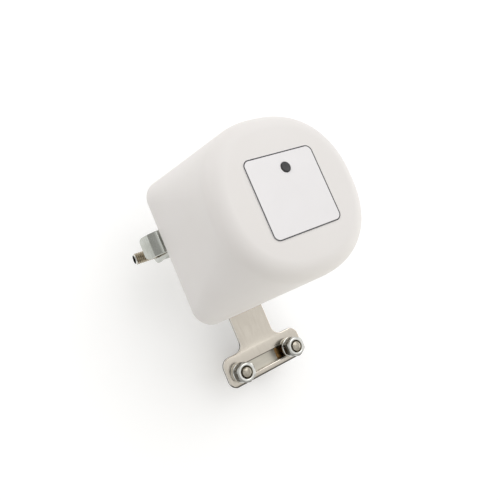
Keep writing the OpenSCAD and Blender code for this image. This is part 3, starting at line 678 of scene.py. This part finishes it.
def makeButton():
    low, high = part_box("push_button")
    at = middle("push_button")
    flange = (high.x - low.x) / 2 / mm
    cap, edge, closing = flange - buttonCap["flange"], buttonCap["edge"], buttonCap["closing"]
    foot, top = low.z / mm, high.z / mm
    ledge = foot + buttonCap["flangeHeight"]
    rimSink, halfSink, middleSink = buttonCap["dish"]
    profile = [(closing, foot), (flange, foot), (flange, ledge), (cap, ledge), (cap, top - edge)]
    for turn in buttonCap["edgeTurns"]:
        profile.append((cap - edge * (1 - math.cos(turn)), top - edge + edge * math.sin(turn)))
    profile += [(cap - 2 * edge, top - rimSink), (cap / 2, top - halfSink), (closing, top - middleSink)]
    part = moved(turned(profile, buttonCap["steps"], "capped"), Matrix.Translation((at.x, at.y, 0)))
    makePiece("button", [part], ["buttonBlack"], "button", ["push_button"])


makeLabel()
makeButton()
print("label and button made")


# bent and flat pieces, with rounded edges
softened("pipe_bracket", ["bracketNickel", "paintedShadeSide", "paintedHighlightEdge"], edge=0.7, name="bracket", segments=4)
softened("clamp_jaw", ["clampSteel"], edge=0.25, name="jaw")
softened("pipe_strap", ["bronzeZinc"], edge=0.3, name="strap")
softened("drive_arm", ["armZinc"], edge=0.35, name="arm")
softened("rear_plate", ["housingWhite"], edge=0.2, name="backPlate")
print("bent and flat pieces softened")


# threaded and hexagon hardware
thread = {
    "pitch": 1.0,
    "depth": 0.5,
    "crest": 0.25,  # share of the V that is left flat
    "perTurn": 8,  # rings
    "steps": 48,
}


def threadRings(radius, start, end, tipCut, footCut):  # a V thread from start to end, both chamfered
    rings = []
    crest = thread["crest"]
    count = round((end - start) / thread["pitch"] * thread["perTurn"])
    for i in range(count + 1):
        z = start + (end - start) * i / count
        limit = min(radius, radius - footCut + (z - start), radius - tipCut + (end - z))
        ring = []
        for k in range(thread["steps"]):
            angle = 2 * math.pi * k / thread["steps"]
            phase = (z / thread["pitch"] - angle / (2 * math.pi)) % 1
            cut = max(0, (1 + crest) * (1 - abs(2 * phase - 1)) - crest)
            r = min(limit, radius - thread["depth"] * cut)
            ring.append((r * math.cos(angle), r * math.sin(angle), z))
        rings.append(ring)
    return rings


setScrew = {
    "key": 1.25,  # width of the hexagon socket, times the screw's radius
    "keyDepth": 1.2,  # its depth, times the radius
    "mouth": 0.61,  # radius of its mouth, times its width
    "mouthDepth": 0.15,
    "drillPoint": (0.1, 0.5),  # radius, and depth below the socket
    "cup": (0.3, 0.7),  # radius and depth of the hollow in the inner end
    "innerChamfer": 1.0,
    "outerChamfer": 0.55,
    "socketBands": 3,  # painted shade inside the socket
    "endBands": 8,  # painted highlight in bright zinc on the end face and its chamfer, from the socket's mouth on
}


def makeGripScrew():
    low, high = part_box("grip_screw")
    at = middle("grip_screw")
    radius, length = (high.z - low.z) / 2 / mm, (high.x - low.x) / mm
    steps = thread["steps"]
    key, depth = radius * setScrew["key"], radius * setScrew["keyDepth"]
    pointRadius, pointDepth = setScrew["drillPoint"]
    cupRadius, cupDepth = setScrew["cup"]
    rings = [
        circle(pointRadius, depth + pointDepth, steps),
        hexRing(key, depth, steps, key),
        hexRing(key, setScrew["mouthDepth"], steps, key),
        circle(key * setScrew["mouth"], 0, steps),
        *threadRings(radius, 0, length, setScrew["innerChamfer"], setScrew["outerChamfer"]),
        circle(cupRadius, length - cupDepth, steps),
    ]
    bands = {i: 1 if i < setScrew["socketBands"] else 2 for i in range(setScrew["endBands"])}
    turn = Matrix.Translation((low.x / mm, at.y, at.z)) @ Matrix.Rotation(math.pi / 2, 4, "Y")
    part = moved(loft(rings, "capped", bands=bands), turn)
    makePiece("gripScrew", [part], ["gripNickel", "socketPaintedShade", "zincBright"], "grip",
              ["grip_screw"])


hexagon = {
    "flats": 10.0,
    "turnedOff": 0.6,  # how far inside the flats the corners are turned off at an end
    "slope": 1.7,  # how fast the turned corners widen
    "steps": 72,
}


def hexBlock(height, shares, turnTop):  # side of a hexagon, its corners turned off below and maybe above
    flats, corner = hexagon["flats"], hexagon["flats"] / math.sqrt(3)
    start, slope = flats / 2 - hexagon["turnedOff"], hexagon["slope"]
    rings = []
    for share in shares:
        z = height * share
        limit = min(corner, start + slope * z)
        if turnTop:
            limit = min(limit, start + slope * (height - z))
        rings.append(hexRing(flats, z, hexagon["steps"], limit))
    return rings


def atBolts(parts, level):  # a copy of the parts at each bolt, standing on level
    low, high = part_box("clamp_washers")
    reach = (high.y - low.y) / 2
    places = [Vector((x, (low.y + high.y) / 2, 0)) / mm for x in (low.x + reach, high.x - reach)]
    lift = Vector((0, 0, level / mm))
    return [moved(part, Matrix.Translation(place + lift)) for place in places for part in parts]


nut = {
    "rings": (0, 0.025, 0.05, 0.075, 0.1, 0.5, 0.9, 0.925, 0.95, 0.975, 1),  # shares of the height
    "shadedBands": 6,  # from the foot up, in painted shade; those above, on the turned corners, in lighter painted shade; the top keeps the bright zinc as a painted highlight
    "mouthRadius": 3.45,  # edge of the hole round the stud's end
    "mouthEdge": (0.12, 0.08),  # its bevel, across and down
    "mouthDepth": 0.8,
    "boreRadius": 3.05,
    "footBevel": 0.4,
}


def makeNuts():
    low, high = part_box("clamp_nuts")
    height = (high.z - low.z) / mm
    steps, mouth, bore, bevel = hexagon["steps"], nut["mouthRadius"], nut["boreRadius"], nut["footBevel"]
    across, down = nut["mouthEdge"]
    rings = hexBlock(height, nut["rings"], True)
    rings += [
        circle(mouth + across, height, steps),
        circle(mouth, height - down, steps),
        circle(bore, height - nut["mouthDepth"], steps),
        circle(bore, bevel, steps),
        circle(bore + bevel, 0, steps),
    ]
    bands = {i: 1 if i < nut["shadedBands"] else 2 for i in range(len(nut["rings"]) - 1)}
    parts = atBolts([loft(rings, "loop", bands=bands)], low.z)
    makePiece("nuts", parts, ["zincBright", "zincPaintedShade", "zincPaintedHalfShade"], "base", ["clamp_nuts"])


washer = {
    "hole": 3.2,
    "holeBevels": (0.1, 0.15),  # below and above
    "rolledEdge": ((0.35, 0), (0.1, 0.12), (0, 0.4)),  # in from the rim and down from the top
    "lowerBevel": (0.15, 0.2),  # across and up
}


def makeWashers():
    low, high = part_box("clamp_washers")
    thick, outer, hole = (high.z - low.z) / mm, (high.y - low.y) / 2 / mm, washer["hole"]
    below, above = washer["holeBevels"]
    across, up = washer["lowerBevel"]
    profile = [(hole, below), (hole, thick - above), (hole + above, thick)]
    profile += [(outer - x, thick - z) for x, z in washer["rolledEdge"]]
    profile += [(outer, up), (outer - across, 0), (hole + below, 0)]
    parts = atBolts([turned(profile)], low.z)
    makePiece("washers", parts, ["zincBright"], "base", ["clamp_washers"])


bolt = {
    "headHeight": 4.0,
    "headRings": (0, 0.05, 0.1, 0.16, 0.24, 0.6, 1),  # shares of the height
    "studRadius": 3.0,
    "studGap": 0.03,  # what the thread is smaller than the stud
    "studRoot": 0.5,  # how far the stud runs into the head
    "studChamfer": 0.6,
    "endRadius": 2.45,  # the plain end above the thread, with a low dome
    "endLength": 2.6,
    "endStep": 0.05,
    "dome": 0.5,
    "domeRings": (1, 0.85, 0.7, 0.5, 0.3, 0.1),  # shares of the end's radius
    "closing": 0.2,  # radius of the small rings that close the ends
}


def makeBolts():
    low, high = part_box("clamp_bolts")
    length = (high.z - low.z) / mm
    headTop, neck = bolt["headHeight"], length - bolt["endLength"]
    root = headTop - bolt["studRoot"]
    closing, end = bolt["closing"], bolt["endRadius"]
    head = [circle(closing, 0, hexagon["steps"])]
    head += hexBlock(headTop, bolt["headRings"], False)
    head += [circle(radius, headTop, hexagon["steps"]) for radius in (bolt["studRadius"], closing)]
    shank = [circle(closing, root, thread["steps"])]
    shank += threadRings(bolt["studRadius"] - bolt["studGap"], root, neck, bolt["studChamfer"], 0)
    shank += [circle(end, neck + bolt["endStep"], thread["steps"])]
    for share in bolt["domeRings"]:
        shank.append(circle(end * share, length - bolt["dome"] * share ** 2, thread["steps"]))
    parts = atBolts([loft(head, "capped"), loft(shank, "capped")], low.z)
    makePiece("clampBolts", parts, ["studSteel"], "base", ["clamp_bolts"])


makeGripScrew()
makeNuts()
makeWashers()
makeBolts()
print("hardware made")


# pieces whose CAD shape stays
dress("zincBright", "rear_plate_screws", "board_screws", "inlet_nut", "deck_screws", "motor_screws",
      "arm_washer", "arm_screw", "bracket_screws")
dress("inletBlack", "power_inlet", "switch_plunger", "tact_switch", "limit_cam", "limit_switches",
      "board_parts")
dress("boardGreen", "control_board")
dress("tinPlate", "radio_module", "motor")
dress("nylonCream", "output_gear", "idler_gear")
dress("bushBrass", "motor_pinion", "rear_bush", "deck_bush")
dress("groundSteel", "output_shaft", "idler_axle", "motor_shaft", "shaft_clip")
dress("deckSteel", "gear_deck")
print("CAD pieces dressed")


# floor, lamps and surroundings
studio = {
    "floorSize": 20.0,
    "floorGap": 0.0003,  # below the object, in metres
    "floorTone": (0.92, 0.92, 0.92),
    "floorGlow": 0.24,  # what lifts the lit paper to white for the camera and for reflections
    "aim": Vector((0, -0.01, 0.02)),  # where the lamps point
    "skyAxis": Vector((0.40, 0.24, 0.885)),  # the surroundings are brightest this way
    # tones of the surroundings, linear, from 0 opposite the axis to 1 along it
    "sky": {0.38: (0.0, 0.0, 0.0), 0.48: (0.12, 0.11, 0.095), 0.57: (0.465, 0.455, 0.42),
            1.0: (1.0, 1.0, 1.005)},
    # what the camera and reflections see of them
    "backdrop": {0.3: (0.62, 0.615, 0.605), 0.5: (0.44, 0.435, 0.425), 0.58: (0.44, 0.435, 0.425),
                 0.7: (0.68, 0.675, 0.665), 1.0: (0.96, 0.96, 0.965)},
}
# place and size in metres, power in watts; a fill card lights the object but shows in no reflection
lamps = {
    "softbox": {"at": (0.38, 0.58, 1.0), "size": (0.9, 0.9), "power": 3.3},
    "rightCard": {"at": (1.00, -0.15, 0.28), "size": (1.0, 0.5), "power": 1.2},
    "topFill": {"at": (-0.70, 0.70, 0.35), "size": (0.9, 0.3), "power": 2.3, "fill": True},
    "leftFill": {"at": (-1.0, 0.0, 0.12), "size": (0.9, 0.5), "power": 1.1, "fill": True},
    "lowFill": {"at": (0.25, -0.95, 0.08), "size": (0.9, 0.4), "power": 3.4, "fill": True,
                "tint": (1, 0.98, 0.89)},
}


def seenDirectly(tree):  # 1 for the camera and for what shows in metal or glass, 0 for light on the object
    path = addNode(tree, "ShaderNodeLightPath").outputs
    seen = addNode(tree, "ShaderNodeMath", {
        0: path["Is Camera Ray"], 1: path["Is Glossy Ray"]}, operation="ADD")
    seen = addNode(tree, "ShaderNodeMath", {
        0: seen.outputs["Value"], 1: path["Is Transmission Ray"]}, operation="ADD", use_clamp=True)
    return seen.outputs["Value"]


def makeFloor():
    half, level = studio["floorSize"] / 2, cadBox[0].z - studio["floorGap"]
    corners = [(-half, -half, level), (half, -half, level), (half, half, level), (-half, half, level)]
    mesh = bpy.data.meshes.new("floor")
    mesh.from_pydata(corners, [], [(0, 1, 2, 3)])
    floor = bpy.data.objects.new("floor", mesh)
    scene.collection.objects.link(floor)
    finish = bpy.data.materials.new("paperSweep")
    finish.use_nodes = True
    tree = finish.node_tree
    tree.nodes.clear()
    paper = addNode(tree, "ShaderNodeBsdfDiffuse", {"Color": toLinear(studio["floorTone"])})
    strength = addNode(tree, "ShaderNodeMath", {
        0: seenDirectly(tree), 1: studio["floorGlow"]}, operation="MULTIPLY")
    glow = addNode(tree, "ShaderNodeEmission", {"Strength": strength.outputs["Value"]})
    both = addNode(tree, "ShaderNodeAddShader", {0: paper.outputs["BSDF"], 1: glow.outputs["Emission"]})
    addNode(tree, "ShaderNodeOutputMaterial", {"Surface": both.outputs["Shader"]})
    mesh.materials.append(finish)


def makeLamps():
    for name, lamp in lamps.items():
        data = bpy.data.lights.new(name, "AREA")
        data.shape = "RECTANGLE"
        data.size, data.size_y = lamp["size"]
        data.energy = lamp["power"]
        data.color = lamp.get("tint", (1, 1, 1))
        light = bpy.data.objects.new(name, data)
        light.location = lamp["at"]
        light.visible_glossy = not lamp.get("fill", False)
        light.rotation_mode = "QUATERNION"
        light.rotation_quaternion = (studio["aim"] - light.location).to_track_quat("-Z", "Y")
        scene.collection.objects.link(light)


def makeSky():  # one soft gradient from the dark of the room to the bright ceiling
    world = bpy.data.worlds.new("studio")
    scene.world = world
    world.use_nodes = True
    tree = world.node_tree
    way = addNode(tree, "ShaderNodeTexCoord").outputs["Generated"]
    along = addNode(tree, "ShaderNodeVectorMath", {0: way, 1: studio["skyAxis"]}, operation="DOT_PRODUCT")
    share = addNode(tree, "ShaderNodeMapRange", {"Value": along.outputs["Value"], "From Min": -1.0})
    tones = []
    for look in ("sky", "backdrop"):
        ramp = addNode(tree, "ShaderNodeValToRGB", {"Fac": share.outputs["Result"]})
        stops = ramp.color_ramp.elements
        stops.remove(stops[1])
        for number, (place, tone) in enumerate(studio[look].items()):
            stop = stops.new(place) if number else stops[0]
            stop.position = place
            stop.color = (*tone, 1)
        tones.append(ramp.outputs["Color"])
    picked = addNode(tree, "ShaderNodeMix", {"Factor": seenDirectly(tree), 6: tones[0], 7: tones[1]},
                     data_type="RGBA")  # 6 and 7 are its colour inputs, 2 its colour output
    tree.links.new(picked.outputs[2], tree.nodes["Background"].inputs["Color"])


makeFloor()
makeLamps()
makeSky()
print("studio made")
